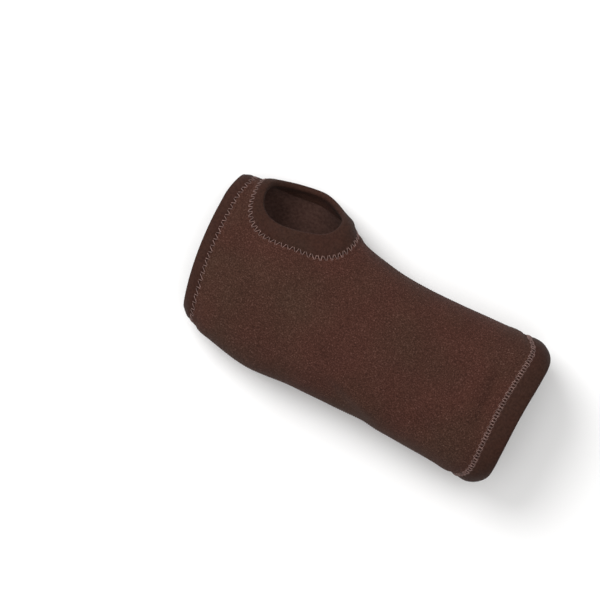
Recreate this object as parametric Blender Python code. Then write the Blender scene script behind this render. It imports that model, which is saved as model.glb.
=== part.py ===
"""A pull-on wrist splint for the right hand: a two-layer fabric sleeve with three bound openings,
a removable palmar stay that is curved along the palm, and two straight dorsal stays.

It lies on its dorsal side. X runs from the fingers (-) to the forearm (+), +Y is the thumb side,
+Z is the palm side, and the origin is at the centre of the sleeve's box, on the surface under it.
"""

import math

import bpy
import numpy as np

# ---------------------------------------------------------------- driving dimensions, in metres

# The sleeve along X.
SLEEVE_LENGTH = 0.189
THUMB_FROM_FINGER_EDGE = 0.044  # to the widest section, at the thumb's base
HEEL_FROM_FINGER_EDGE = 0.053  # to the widest section of the little-finger side
THENAR_FROM_FINGER_EDGE = 0.061  # to the middle of the flare below the thumb
FLARE_FROM_FINGER_EDGE = 0.0765  # to where the flare meets the forearm
WRIST_FROM_FINGER_EDGE = 0.1085  # to the narrowest section

# Half widths, measured across from the palmar stay's centre line.
FINGER_RADIAL = 0.044
THUMB_RADIAL = 0.0565
THENAR_RADIAL = 0.0505
FLARE_RADIAL = 0.0410
WRIST_RADIAL = 0.0373
FOREARM_RADIAL = 0.0412
FINGER_ULNAR = 0.0345
HEEL_ULNAR = 0.0422
FLARE_ULNAR = 0.0396
WRIST_ULNAR = 0.0381
FOREARM_ULNAR = 0.0396

# The sleeve upwards. Its palm side is an arc, so that the curved stay can slide along it.
FOREARM_HEIGHT = 0.056
PALMAR_RADIUS = 0.900
SIDE_SHARE = 0.46  # how far up the section its widest line lies
FLAT_SHARE = 0.42  # how much of the half width rests flat on the surface
PALM_SQUARENESS = 2.9
DORSAL_SQUARENESS = 2.4

# How the two ends are cut and drawn in.
FINGER_ULNAR_BEND = 2.7  # per metre: how the finger edge falls back towards the little finger
FINGER_ULNAR_BEND_FROM = 0.016
FINGER_RADIAL_BEND = 12.0  # per metre: how it falls back towards the thumb's web
FINGER_RADIAL_BEND_FROM = 0.022
FOREARM_DIP = 0.0035  # how far the forearm edge dips between its corners
FOREARM_CORNER_FALL = 0.0060  # and how far it falls back at its sides
FINGER_DRAW = 0.0065  # how far the little-finger side is drawn in at the finger edge
FINGER_DRAW_LENGTH = 0.0140
FOREARM_DRAW = 0.0140  # how far both sides are drawn in at the forearm edge
FOREARM_DRAW_LENGTH = 0.0130
MOST_DRAW_SHARE = 0.8  # past this share of a quarter ellipse, the side runs on straight
END_CURL = 0.0010  # how far the palm side dips at an end
END_CURL_LENGTH = 0.0105
BOX_SHIFT = 0.0010  # centres the sleeve's box, as the forearm edge's corners stop short

# Cloth layers, and the gaps that pieces keep.
COVER = 0.0022
LINING = 0.0008
GAP = 0.0003
EDGE_GAP = 0.0004  # between pieces that lie side by side
LAYERS = COVER + GAP + LINING

# Bound edges and the flat-locked seams that join them to the cover.
FINGER_BAND = 0.0050
FOREARM_BAND = 0.0100
THUMB_BAND = 0.0090
THUMB_BAND_AT_WEB = 0.0032
BAND_EDGE_ROUND = 0.0009
STITCH_WIDTH = 0.0022
STITCH_DEPTH = 0.0018
SEAM_HALF_WIDTH = 0.0011

# The thumb hole, laid out on the sleeve's skin.
WEB_WIDTH = 0.0180  # from the finger edge to the hole
HOLE_HALF_LENGTH = 0.0210
HOLE_HALF_WIDTH = 0.0220
HOLE_RISE = 0.0160  # from the radial side line to the hole's centre, towards the palm

# The palmar stay: a curved aluminium strip with a wider palm end.
PALMAR_STAY_LENGTH = 0.148
PALMAR_STAY_WIDTH = 0.0250
PALMAR_STAY_PALM_WIDTH = 0.0310
PALMAR_STAY_THICKNESS = 0.0015
PALMAR_STAY_SPREAD_FROM = 0.55  # share of its length from which it widens
PALMAR_STAY_SPREAD = 0.25  # share of its length over which it does
PALMAR_STAY_INSET = 0.0140  # from the forearm edge to the stay's end

# The dorsal stays: two straight spring steel strips.
DORSAL_STAY_LENGTH = 0.118
DORSAL_STAY_WIDTH = 0.0080
DORSAL_STAY_THICKNESS = 0.0008
DORSAL_STAY_INSET = 0.0150
DORSAL_STAY_SPACING = 0.0260

# Dipped tips on the stays, and the pockets that hold the stays.
TIP_LENGTH = 0.0090
TIP_WALL = 0.0003
TIP_GAP = 0.0001
POCKET_CLOTH = 0.0008
STAY_CLEARANCE = 0.0004  # from a stay's tips to the cloth round them
POCKET_SLOPE = 0.0012  # across which a pocket's side rises
POCKET_LIP = 0.0035
POCKET_SEAT = 0.0005  # from the lining to the pocket's edges
POCKET_END = 0.0040  # closed end beyond the stay's tip
POCKET_MOUTH = 0.0020  # how far the pocket's open end stops short of the stay's tip

# How finely the curved pieces are faceted.
TABLE_STATIONS = 300
TABLE_POINTS = 960
PANEL_ROWS = 18
BEND_WEIGHT = 0.020  # metres of length that a bend of one radian counts as
FRAME_MARGIN = 0.006  # from the thumb hole's stitching to the frame that rays run to
RAYS_ALONG = 10
RAY_LAYERS = 3
FOREARM_COLUMNS = 9
PLATE_STATIONS = 18

# ---------------------------------------------------------------- places worked out from them

X_FINGER = BOX_SHIFT - SLEEVE_LENGTH / 2
X_FOREARM = BOX_SHIFT + SLEEVE_LENGTH / 2
STAY_LINE = (HEEL_ULNAR - THUMB_RADIAL) / 2  # Y of the stay line that centres the sleeve's box
ARC_CENTRE_Z = FOREARM_HEIGHT - PALMAR_RADIUS
HOLE_X = X_FINGER + WEB_WIDTH + HOLE_HALF_LENGTH
SEAM_GAP = SEAM_HALF_WIDTH + EDGE_GAP  # from a seam's line to the cover beside it
PAST_STITCHING = EDGE_GAP + STITCH_WIDTH + EDGE_GAP  # from a band to the cover beyond its stitching
FINGER_COVER_START = FINGER_BAND + PAST_STITCHING
FOREARM_COVER_START = FOREARM_BAND + PAST_STITCHING
TIP_GROWTH = TIP_GAP + TIP_WALL  # how much larger a tip is than its stay, on each side
DORSAL_STAY_BASE = LAYERS + STAY_CLEARANCE + TIP_GROWTH


# ---------------------------------------------------------------- the sleeve's skin


def smooth_through(stations, values, at):
    """A curve through the stations that never swings past them (a monotone cubic)."""
    xs, ys = np.asarray(stations, float), np.asarray(values, float)
    width, slope = np.diff(xs), np.diff(ys) / np.diff(xs)
    tangent = np.zeros_like(ys)
    same_way = slope[:-1] * slope[1:] > 0
    near, far = 2 * width[1:] + width[:-1], width[1:] + 2 * width[:-1]
    safe = np.where(same_way[:, None], np.stack([slope[:-1], slope[1:]], 1), 1.0)
    mean = (near + far) / (near / safe[:, 0] + far / safe[:, 1])
    tangent[1:-1] = np.where(same_way, mean, 0.0)
    at = np.clip(np.asarray(at, float), xs[0], xs[-1])
    i = np.clip(np.searchsorted(xs, at) - 1, 0, len(width) - 1)
    t = (at - xs[i]) / width[i]
    rise = ys[i] * (1 + 2 * t) * (1 - t) ** 2 + ys[i + 1] * t**2 * (3 - 2 * t)
    return rise + width[i] * t * (1 - t) * (tangent[i] * (1 - t) - tangent[i + 1] * t)


def drawn_in(distance, length, draw):
    """How far an end's side is drawn in, at this distance past where the drawing starts."""
    share = np.maximum(distance / length, 0)
    bent = np.minimum(share, MOST_DRAW_SHARE)
    slope = MOST_DRAW_SHARE / math.sqrt(1 - MOST_DRAW_SHARE**2)
    return draw * (1 - np.sqrt(1 - bent**2) + slope * (share - bent))


def finger_edge(y):
    """x of the finger edge at y."""
    ulnar_fall = FINGER_ULNAR_BEND * np.minimum(y - FINGER_ULNAR_BEND_FROM, 0) ** 2
    radial_fall = FINGER_RADIAL_BEND * np.maximum(y - FINGER_RADIAL_BEND_FROM, 0) ** 2
    return X_FINGER + ulnar_fall + radial_fall


def side_lines(x):
    """Y of the sleeve's radial and ulnar sides at x."""
    thumb, heel = THUMB_FROM_FINGER_EDGE, HEEL_FROM_FINGER_EDGE
    thenar, flare, wrist = THENAR_FROM_FINGER_EDGE, FLARE_FROM_FINGER_EDGE, WRIST_FROM_FINGER_EDGE
    radial = smooth_through(
        [0, thumb, thenar, flare, wrist, SLEEVE_LENGTH],
        [FINGER_RADIAL, THUMB_RADIAL, THENAR_RADIAL, FLARE_RADIAL, WRIST_RADIAL, FOREARM_RADIAL],
        x - X_FINGER,
    )
    ulnar = smooth_through(
        [0, heel, flare, wrist, SLEEVE_LENGTH],
        [FINGER_ULNAR, HEEL_ULNAR, FLARE_ULNAR, WRIST_ULNAR, FOREARM_ULNAR],
        x - X_FINGER,
    )
    past = x - (X_FOREARM - FOREARM_DRAW_LENGTH)
    at_forearm = drawn_in(past, FOREARM_DRAW_LENGTH, FOREARM_DRAW)
    past = finger_edge(STAY_LINE - ulnar) + FINGER_DRAW_LENGTH - x
    at_finger = drawn_in(past, FINGER_DRAW_LENGTH, FINGER_DRAW)
    return STAY_LINE + radial - at_forearm, STAY_LINE - ulnar + at_forearm + at_finger


def palm_height(x):
    """Z of the palm side's crown at x: the stay's arc, less the curl at each end."""
    arc = ARC_CENTRE_Z + np.sqrt(PALMAR_RADIUS**2 - (X_FOREARM - x) ** 2)
    near_end = np.minimum(x - X_FINGER, X_FOREARM - x)
    share = np.clip(1 - near_end / END_CURL_LENGTH, 0, 1)
    return arc - END_CURL * share**2


def squared(angle, squareness):
    """Cosine and sine of a rounded square of half width 1, at this polar angle."""
    c, s = np.cos(angle), np.sin(angle)
    reach = (np.abs(c) ** squareness + np.abs(s) ** squareness) ** (-1 / squareness)
    return c * reach, s * reach


def section(x):
    """One section of the skin: from the radial side over the palm, then back under the dorsum."""
    radial, ulnar = side_lines(x)
    top = palm_height(x)
    side = SIDE_SHARE * top
    middle, half = (radial + ulnar) / 2, (radial - ulnar) / 2
    flat = FLAT_SHARE * half
    c, s = squared(np.linspace(0, math.pi, 721), PALM_SQUARENESS)
    over = np.stack([middle + half * c, side + (top - side) * s], 1)
    c, s = squared(np.linspace(0, math.pi / 2, 361)[1:], DORSAL_SQUARENESS)
    down = np.stack([flat + (half - flat) * c, side * (1 - s)], 1)
    ulnar_down = down * (-1, 1) + (middle, 0)
    radial_up = down[::-1] + (middle, 0)
    closing = [[radial, side]]
    return np.concatenate([over, ulnar_down, radial_up, closing]), len(over) - 1


class Skin:
    """The sleeve's outer surface. A place on it is (x, s): x along the sleeve, and s the distance
    round the section from the radial side line, positive over the palm and negative under."""

    def __init__(self):
        self.x = np.linspace(X_FINGER - 0.004, X_FOREARM + 0.004, TABLE_STATIONS)
        rings, rounds, ulnars = [], [], []
        for x in self.x:
            points, ulnar = section(x)
            along = np.concatenate([[0], np.cumsum(np.linalg.norm(np.diff(points, axis=0), axis=1))])
            even = np.linspace(0, along[-1], TABLE_POINTS + 1)
            rings.append(np.stack([np.interp(even, along, points[:, k]) for k in (0, 1)], 1))
            rounds.append(along[-1])
            ulnars.append(along[ulnar])
        self.rings, self.rounds, self.ulnars = np.array(rings), np.array(rounds), np.array(ulnars)

    def girth(self, x):
        return np.interp(x, self.x, self.rounds)

    def ulnar_line(self, x, side):
        """s of the ulnar side line, reached over the palm (side 1) or under the dorsum (-1)."""
        over = np.interp(x, self.x, self.ulnars)
        return over if side > 0 else over - self.girth(x)

    def point(self, x, s):
        x, s = np.broadcast_arrays(np.asarray(x, float), np.asarray(s, float))
        step = self.x[1] - self.x[0]
        i = np.clip(((x - self.x[0]) / step).astype(int), 0, len(self.x) - 2)
        u = ((x - self.x[i]) / step)[..., None]
        turn = np.mod(s / self.girth(x), 1) * TABLE_POINTS
        j = np.clip(turn.astype(int), 0, TABLE_POINTS - 1)
        v = (turn - j)[..., None]
        near = self.rings[i, j] * (1 - v) + self.rings[i, j + 1] * v
        far = self.rings[i + 1, j] * (1 - v) + self.rings[i + 1, j + 1] * v
        return np.concatenate([x[..., None], near * (1 - u) + far * u], -1)

    def at_depth(self, x, s, depth):
        """The point this far under the skin, square to it."""
        step = 0.0006
        along = self.point(x + step, s) - self.point(x - step, s)
        across = self.point(x, s + step) - self.point(x, s - step)
        out = np.cross(across, along)
        out /= np.linalg.norm(out, axis=-1, keepdims=True)
        return self.point(x, s) - out * np.asarray(depth, float)[..., None]


SKIN = Skin()


def finger_line(s, inside):
    """x of the line that runs this far inside the finger edge, at s."""
    x = np.full_like(np.asarray(s, float), X_FINGER + inside)
    for _ in range(8):
        x = finger_edge(SKIN.point(x, s)[..., 1]) + inside
    return x


def forearm_line(s, inside):
    """x of the line that runs this far inside the forearm edge, at s."""
    x = np.full_like(np.asarray(s, float), X_FOREARM - inside)
    for _ in range(8):
        across = np.minimum(np.abs(SKIN.point(x, s)[..., 1] - STAY_LINE) / FOREARM_ULNAR, 1)
        fall = FOREARM_DIP * (1 - across**2) + FOREARM_CORNER_FALL * across**12
        x = X_FOREARM - fall - inside
    return x


def even_steps(x, start, end, count):
    """Places round the section at x, from start to end, closer together where it bends."""
    s = np.linspace(start, end, 400)
    points = SKIN.point(np.full(len(s), x), s)[:, 1:]
    runs = np.diff(points, axis=0)
    heading = np.unwrap(np.arctan2(runs[:, 1], runs[:, 0]))
    bend = np.abs(np.gradient(heading)) * BEND_WEIGHT
    travelled = np.concatenate([[0], np.cumsum(np.linalg.norm(runs, axis=1) + bend)])
    return np.interp(np.linspace(0, travelled[-1], count + 1), travelled, s)


def hole_line(angle, outside):
    """(x, s) on the line that runs this far outside the thumb hole's edge. 0 faces the forearm."""
    x = HOLE_X + (HOLE_HALF_LENGTH + outside) * np.cos(angle)
    return x, HOLE_RISE + (HOLE_HALF_WIDTH + outside) * np.sin(angle)


def thumb_band(angle):
    """The thumb band's width: it narrows at the web between thumb and first finger."""
    at_web = ((1 - np.cos(angle)) / 2) ** 3
    return THUMB_BAND + (THUMB_BAND_AT_WEB - THUMB_BAND) * at_web


def hole_angle_at(s, outside, towards_fingers):
    """The angle at which the line outside the thumb band crosses this s."""
    angle = math.pi if towards_fingers else 0.0
    for _ in range(20):
        reach = HOLE_HALF_WIDTH + thumb_band(angle) + outside
        rise = math.asin((s - HOLE_RISE) / reach)
        angle = math.pi - rise if towards_fingers else rise
    return angle


# ---------------------------------------------------------------- building solids

MATERIALS = {
    # name: (base colour, roughness, metallic)
    "cover_knit": ((0.064, 0.028, 0.022, 1), 0.95, 0.0),
    "band_knit": ((0.045, 0.020, 0.017, 1), 0.85, 0.0),
    "lining_jersey": ((0.050, 0.024, 0.020, 1), 0.90, 0.0),
    "thread": ((0.150, 0.090, 0.080, 1), 0.60, 0.0),
    "aluminium": ((0.620, 0.620, 0.640, 1), 0.35, 1.0),
    "spring_steel": ((0.480, 0.480, 0.500, 1), 0.30, 1.0),
    "dipped_plastic": ((0.030, 0.030, 0.032, 1), 0.45, 0.0),
}


def material(name):
    if name not in bpy.data.materials:
        colour, roughness, metallic = MATERIALS[name]
        made = bpy.data.materials.new(name)
        made.use_nodes = True
        shader = made.node_tree.nodes["Principled BSDF"]
        shader.inputs["Base Color"].default_value = colour
        shader.inputs["Roughness"].default_value = roughness
        shader.inputs["Metallic"].default_value = metallic
    return bpy.data.materials[name]


def add_solid(name, points, faces, finish, pivot=None):
    """An object from points in the world. A moving piece hangs from the empty on its axis."""
    origin = np.array(pivot.location if pivot else (0, 0, 0))
    mesh = bpy.data.meshes.new(name)
    mesh.from_pydata((np.asarray(points) - origin).tolist(), [], [list(f) for f in faces])
    mesh.materials.append(material(finish))
    mesh.shade_smooth()
    mesh.set_sharp_from_angle(angle=math.radians(40))
    made = bpy.data.objects.new(name, mesh)
    made.parent = pivot
    bpy.context.scene.collection.objects.link(made)
    return made


def add_empty(name, place):
    made = bpy.data.objects.new(name, None)
    made.location = place
    bpy.context.scene.collection.objects.link(made)
    return made


def closed_sheet(outer, inner, faces):
    """Points and faces of the solid between two copies of one sheet of faces."""
    shift = len(outer)
    faces = split(faces)
    edges = {}
    for face in faces:
        for a, b in zip(face, face[1:] + face[:1]):
            edges[(a, b)] = True
    rim = [(a, b) for a, b in edges if (b, a) not in edges]
    walls = [(b, a, a + shift, b + shift) for a, b in rim]
    under = [tuple(i + shift for i in reversed(face)) for face in faces]
    return np.concatenate([outer, inner]), [tuple(f) for f in faces] + under + walls


def split(faces):
    """Triangles, cut along the same diagonal in every layer, so that stacked layers never cross."""
    return [[face[0], face[k], face[k + 1]] for face in faces for k in range(1, len(face) - 1)]


def grid_faces(rows, columns):
    return [
        [i * columns + j, i * columns + j + 1, (i + 1) * columns + j + 1, (i + 1) * columns + j]
        for i in range(rows - 1)
        for j in range(columns - 1)
    ]


def add_sheet(name, x, s, faces, depths, finish):
    """A layer of cloth over a patch of the skin, from one depth to another."""
    outer, inner = (SKIN.at_depth(x, s, np.full(len(x), d)) for d in depths)
    points, faces = closed_sheet(outer, inner, faces)
    return add_solid(name, points, faces, finish)


def add_ring(name, line, profile, finish):
    """A closed band. line(out) gives (x, s) all round, and the profile is a loop of (out, depth)."""
    loops = []
    for out, depth in profile:
        x, s = line(out)
        loops.append(SKIN.at_depth(x, s, np.full(len(x), depth)))
    count, steps = len(profile), len(loops[0])
    points = np.stack(loops, 1).reshape(-1, 3)
    faces = []
    for i in range(steps):
        for j in range(count):
            a, b = i * count, ((i + 1) % steps) * count
            k = (j + 1) % count
            faces.append([a + j, a + k, b + k, b + j])
    return add_solid(name, points, faces, finish)


def rounded_band(width):
    """Profile of a bound edge: rounded at the free edge, square where the stitching joins it."""
    nose = BAND_EDGE_ROUND
    return [
        (width, 0),
        (nose, 0),
        (nose * 0.29, LAYERS * 0.15),
        (0, LAYERS / 2),
        (nose * 0.29, LAYERS * 0.85),
        (nose, LAYERS),
        (width, LAYERS),
    ]


def stitch_row(start):
    """Profile of a flat-locked row of thread, this far in from the free edge."""
    return [
        (start + STITCH_WIDTH, 0),
        (start, 0),
        (start, STITCH_DEPTH),
        (start + STITCH_WIDTH, STITCH_DEPTH),
    ]


# ---------------------------------------------------------------- the sleeve


class Layout:
    """How one panel is divided: shares of the way from the radial seam to the ulnar seam, and the
    rays that run from the thumb hole's stitching to a frame round it."""

    def __init__(self, side):
        self.side = side
        self.edge = side * SEAM_GAP
        self.frame_x = hole_line(0, THUMB_BAND + PAST_STITCHING)[0] + FRAME_MARGIN
        top = hole_line(side * math.pi / 2, THUMB_BAND + PAST_STITCHING)[1] + side * FRAME_MARGIN
        far = SKIN.ulnar_line(self.frame_x, side) - self.edge
        rows = even_steps(self.frame_x, self.edge, far, PANEL_ROWS)
        self.shares = (rows - self.edge) / (far - self.edge)
        self.beside = int(np.searchsorted(np.abs(rows), abs(top)))
        self.frame = self.frame_points()

        # Each ray leaves the hole at the angle at which it reaches the frame.
        start = hole_angle_at(self.edge, PAST_STITCHING, towards_fingers=False)
        end = hole_angle_at(self.edge, PAST_STITCHING, towards_fingers=True)
        end -= 2 * math.pi if side < 0 else 0
        over = np.arctan2(self.frame[:, 1] - HOLE_RISE, self.frame[:, 0] - HOLE_X)
        bearing = np.unwrap(over)
        turned = (bearing - bearing[0]) / (bearing[-1] - bearing[0])
        self.angles = start + (end - start) * turned
        out = thumb_band(self.angles) + PAST_STITCHING
        self.hole = np.stack(hole_line(self.angles, out), 1)
        self.hole[0, 1] = self.hole[-1, 1] = self.edge

    def across(self, x, share):
        return self.edge + (SKIN.ulnar_line(x, self.side) - 2 * self.edge) * share

    def meet(self, line, inside, share):
        """(x, s) where the lines at these shares meet an end's line."""
        share = np.asarray(share, float)
        x = np.zeros_like(share)
        for _ in range(8):
            s = self.across(x, share)
            x = line(s, inside)
        return x, self.across(x, share)

    def frame_points(self):
        near, top = self.shares[: self.beside + 1], self.shares[self.beside]
        right = np.stack([np.full(len(near), self.frame_x), self.across(self.frame_x, near)], 1)
        left = np.stack(self.meet(finger_line, FINGER_COVER_START, near[::-1]), 1)
        along = np.linspace(self.frame_x, left[0, 0], RAYS_ALONG + 1)[1:-1]
        return np.concatenate([right, np.stack([along, self.across(along, top)], 1), left])

    def blocks(self):
        """Grids of (x, s): round the hole, on to the ulnar seam, and along the forearm."""
        out = np.linspace(0, 1, RAY_LAYERS + 1)[:, None, None]
        round_hole = self.hole * (1 - out) + self.frame * out
        top = self.frame[self.beside : self.beside + RAYS_ALONG + 1]
        spread = (top[:, 0] - self.frame_x) / (top[-1, 0] - self.frame_x)
        rows, columns = [top], []
        for share in self.shares[self.beside + 1 :]:
            end, _ = self.meet(finger_line, FINGER_COVER_START, share)
            x = self.frame_x + spread * (end - self.frame_x)
            rows.append(np.stack([x, self.across(x, share)], 1))
        end, _ = self.meet(forearm_line, FOREARM_COVER_START, self.shares)
        for share in np.linspace(0, 1, FOREARM_COLUMNS + 1):
            x = self.frame_x + (end - self.frame_x) * share
            columns.append(np.stack([x, self.across(x, self.shares)], 1))
        return round_hole, np.array(rows), np.array(columns)


LAYOUTS = {side: Layout(side) for side in (1, -1)}


def panel_patch(side):
    """The palm (side 1) or dorsal (-1) panel as a patch of the skin: (x, s, faces)."""
    return weld_blocks(LAYOUTS[side].blocks())


def weld_blocks(blocks):
    """Joins grids of (x, s) points that share their borders into one sheet of faces."""
    index, points, faces = {}, [], []

    def number(p):
        key = (round(p[0] * 1e7), round(p[1] * 1e7))
        if key not in index:
            index[key] = len(points)
            points.append(p)
        return index[key]

    for block in blocks:
        rows, columns = block.shape[:2]
        flat = [number(p) for p in block.reshape(-1, 2)]
        for face in grid_faces(rows, columns):
            corners = [flat[i] for i in face]
            p = np.array([points[i] for i in corners])
            a, b = p[2] - p[0], p[3] - p[1]
            if a[0] * b[1] - a[1] * b[0] > 0:
                corners.reverse()
            faces.append(corners)
    points = np.array(points)
    return points[:, 0], points[:, 1], faces


def add_panels():
    for side, name in ((1, "palmar"), (-1, "dorsal")):
        x, s, faces = panel_patch(side)
        add_sheet(f"{name}_cover", x, s, faces, (0, COVER), "cover_knit")
        add_sheet(f"{name}_lining", x, s, faces, (COVER + GAP, LAYERS), "lining_jersey")


def add_seam(name, middle, start, end, steps):
    """A flat-locked seam along the line s = middle(x), from x = start(s) to x = end(s)."""
    x, s = [], []
    for share in np.linspace(0, 1, steps + 1):
        for offset in np.array([-1, 0, 1]) * SEAM_HALF_WIDTH:
            at = start(offset) * (1 - share) + end(offset) * share
            x.append(at)
            s.append(middle(at) + offset)
    faces = grid_faces(steps + 1, 3)
    add_sheet(name, np.array(x), np.array(s), faces, (0, STITCH_DEPTH), "thread")


def add_seams():
    def past_thumb(s, towards_fingers):
        angle = hole_angle_at(s, PAST_STITCHING, towards_fingers)
        return hole_line(angle, thumb_band(angle) + PAST_STITCHING)[0]

    def finger(s):
        return float(finger_line(s, FINGER_COVER_START))

    def forearm(s):
        return float(forearm_line(s, FOREARM_COVER_START))

    def ulnar(s, line, inside):
        x = X_FINGER
        for _ in range(6):
            x = float(line(SKIN.ulnar_line(x, 1) + s, inside))
        return x

    add_seam("web_seam", lambda x: 0, finger, lambda s: past_thumb(s, True), 2)
    add_seam("radial_seam", lambda x: 0, lambda s: past_thumb(s, False), forearm, 16)
    add_seam(
        "ulnar_seam",
        lambda x: float(SKIN.ulnar_line(x, 1)),
        lambda s: ulnar(s, finger_line, FINGER_COVER_START),
        lambda s: ulnar(s, forearm_line, FOREARM_COVER_START),
        24,
    )


def all_round(line, inside):
    """(x, s) round an end's line, at the same places as the panels' edges."""
    palm = LAYOUTS[1].meet(line, inside, LAYOUTS[1].shares)
    back = LAYOUTS[-1].meet(line, inside, LAYOUTS[-1].shares[::-1])
    return np.concatenate([palm[0], back[0]]), np.concatenate([palm[1], back[1]])


def add_bands():
    def finger(inside):
        return all_round(finger_line, inside)

    def forearm(inside):
        return all_round(forearm_line, inside)

    def thumb(outside):
        # A share of the band's own width up to 1, and metres past the band after that.
        turn = np.concatenate([LAYOUTS[1].angles, LAYOUTS[-1].angles[::-1] + 2 * math.pi])
        width = thumb_band(turn)
        past = max(outside - THUMB_BAND, 0)
        return hole_line(turn, width * min(outside / THUMB_BAND, 1) + past)

    add_ring("finger_band", finger, rounded_band(FINGER_BAND), "band_knit")
    add_ring("forearm_band", forearm, rounded_band(FOREARM_BAND)[::-1], "band_knit")
    add_ring("thumb_band", thumb, rounded_band(THUMB_BAND), "band_knit")
    add_ring("finger_stitching", finger, stitch_row(FINGER_BAND + EDGE_GAP), "thread")
    add_ring("forearm_stitching", forearm, stitch_row(FOREARM_BAND + EDGE_GAP)[::-1], "thread")
    add_ring("thumb_stitching", thumb, stitch_row(THUMB_BAND + EDGE_GAP), "thread")


# ---------------------------------------------------------------- stays, tips and pockets


class PalmarTrack:
    """Places along the palmar stay's arc: how far from the forearm edge, across, and deep."""

    near_side_up = True

    def point(self, along, across, depth):
        angle = np.asarray(along, float) / PALMAR_RADIUS
        reach = PALMAR_RADIUS - depth
        x = X_FOREARM - reach * np.sin(angle)
        y = STAY_LINE + np.asarray(across, float)
        return np.stack(np.broadcast_arrays(x, y, ARC_CENTRE_Z + reach * np.cos(angle)), -1)

    def lining_depth(self, along, across):
        """How far under the arc the lining's inner face lies."""
        x, y, z = np.moveaxis(self.point(along, across, 0), -1, 0)
        radial, ulnar = side_lines(x)
        top = palm_height(x)
        side = SIDE_SHARE * top
        share = np.abs(2 * y - radial - ulnar) / (radial - ulnar)
        skin = side + (top - side) * (1 - share**PALM_SQUARENESS) ** (1 / PALM_SQUARENESS)
        return z - skin + LAYERS


class DorsalTrack:
    """Places along a dorsal stay's straight line, with depth measured up from the surface."""

    near_side_up = False

    def __init__(self, middle):
        self.middle = middle

    def point(self, along, across, depth):
        x = X_FOREARM - np.asarray(along, float)
        y = self.middle + np.asarray(across, float)
        return np.stack(np.broadcast_arrays(x, y, np.asarray(depth, float)), -1)

    def lining_depth(self, along, across):
        """How far above the surface the lining's inner face lies."""
        x, y, _ = np.moveaxis(self.point(along, across, 0), -1, 0)
        radial, ulnar = side_lines(x)
        half = (radial - ulnar) / 2
        flat = FLAT_SHARE * half
        off = np.clip((np.abs(y - (radial + ulnar) / 2) - flat) / (half - flat), 0, 1)
        rise = 1 - (1 - off**DORSAL_SQUARENESS) ** (1 / DORSAL_SQUARENESS)
        return LAYERS + SIDE_SHARE * palm_height(x) * rise


def end_rounded(half_width, start, end, grow=0.0):
    """Stations and half widths of a strip with rounded ends, grown by grow all round."""
    corner = min(0.006, 0.8 * float(half_width(start)))
    turn = np.linspace(0, math.pi / 2, 5)
    inner = np.linspace(start + corner, end - corner, PLATE_STATIONS)
    low = start + corner - (corner + grow) * np.cos(turn[:-1])
    high = end - corner + (corner + grow) * np.cos(turn[:-1][::-1])
    stations = np.concatenate([low, inner, high])
    widths = np.array([float(half_width(a)) for a in stations]) + grow
    less = (corner + grow) * (1 - np.sin(turn[:-1]))
    widths[: len(less)] -= less
    widths[-len(less) :] -= less[::-1]
    return stations, widths


def plate(name, track, stations, widths, depths, finish, pivot=None):
    """A strip that follows the track, between two depths."""
    near, far = [], []
    for a, w in zip(stations, widths):
        for across in (-w, 0, w):
            near.append(track.point(a, across, depths[0]))
            far.append(track.point(a, across, depths[1]))
    faces = grid_faces(len(stations), 3)
    if not track.near_side_up:
        faces = [face[::-1] for face in faces]
    points, faces = closed_sheet(np.array(near), np.array(far), faces)
    return add_solid(name, points, faces, finish, pivot)


def add_tip(name, track, half_width, span, depths, at_start, pivot):
    """A dipped tip over one end of a stay, hollow where the stay's end lies in it."""
    start, end = span
    stations, widths = end_rounded(half_width, start, end, TIP_GROWTH)
    inner_stations, inner_widths = end_rounded(half_width, start, end, TIP_GAP)
    cut = start + TIP_LENGTH if at_start else end - TIP_LENGTH

    def up_to(stations, widths, limit):
        keep = stations < limit - 1e-6 if at_start else stations > limit + 1e-6
        kept, wide = stations[keep], widths[keep]
        at = np.interp(limit, stations, widths)
        if at_start:
            return np.append(kept, limit), np.append(wide, at)
        return np.insert(kept, 0, limit), np.insert(wide, 0, at)

    outer = up_to(stations, widths, cut)
    beyond = cut + (TIP_LENGTH if at_start else -TIP_LENGTH) / 2
    inner = up_to(inner_stations, inner_widths, beyond)
    outer_depths = (depths[0] - TIP_GROWTH, depths[1] + TIP_GROWTH)
    tip = plate(name, track, *outer, outer_depths, "dipped_plastic", pivot)
    hollow = plate(
        f"{name}_hollow",
        track,
        *inner,
        (depths[0] - TIP_GAP, depths[1] + TIP_GAP),
        "dipped_plastic",
        pivot,
    )
    hollow.hide_render = True
    hollow.display_type = "WIRE"
    cut_out = tip.modifiers.new("stay_end", "BOOLEAN")
    cut_out.operation = "DIFFERENCE"
    cut_out.solver = "EXACT"
    cut_out.object = hollow


def add_stay(name, track, half_width, span, depths, finish, pivot):
    plate(name, track, *end_rounded(half_width, *span), depths, finish, pivot)
    add_tip(f"{name}_forearm_tip", track, half_width, span, depths, True, pivot)
    add_tip(f"{name}_finger_tip", track, half_width, span, depths, False, pivot)


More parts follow.
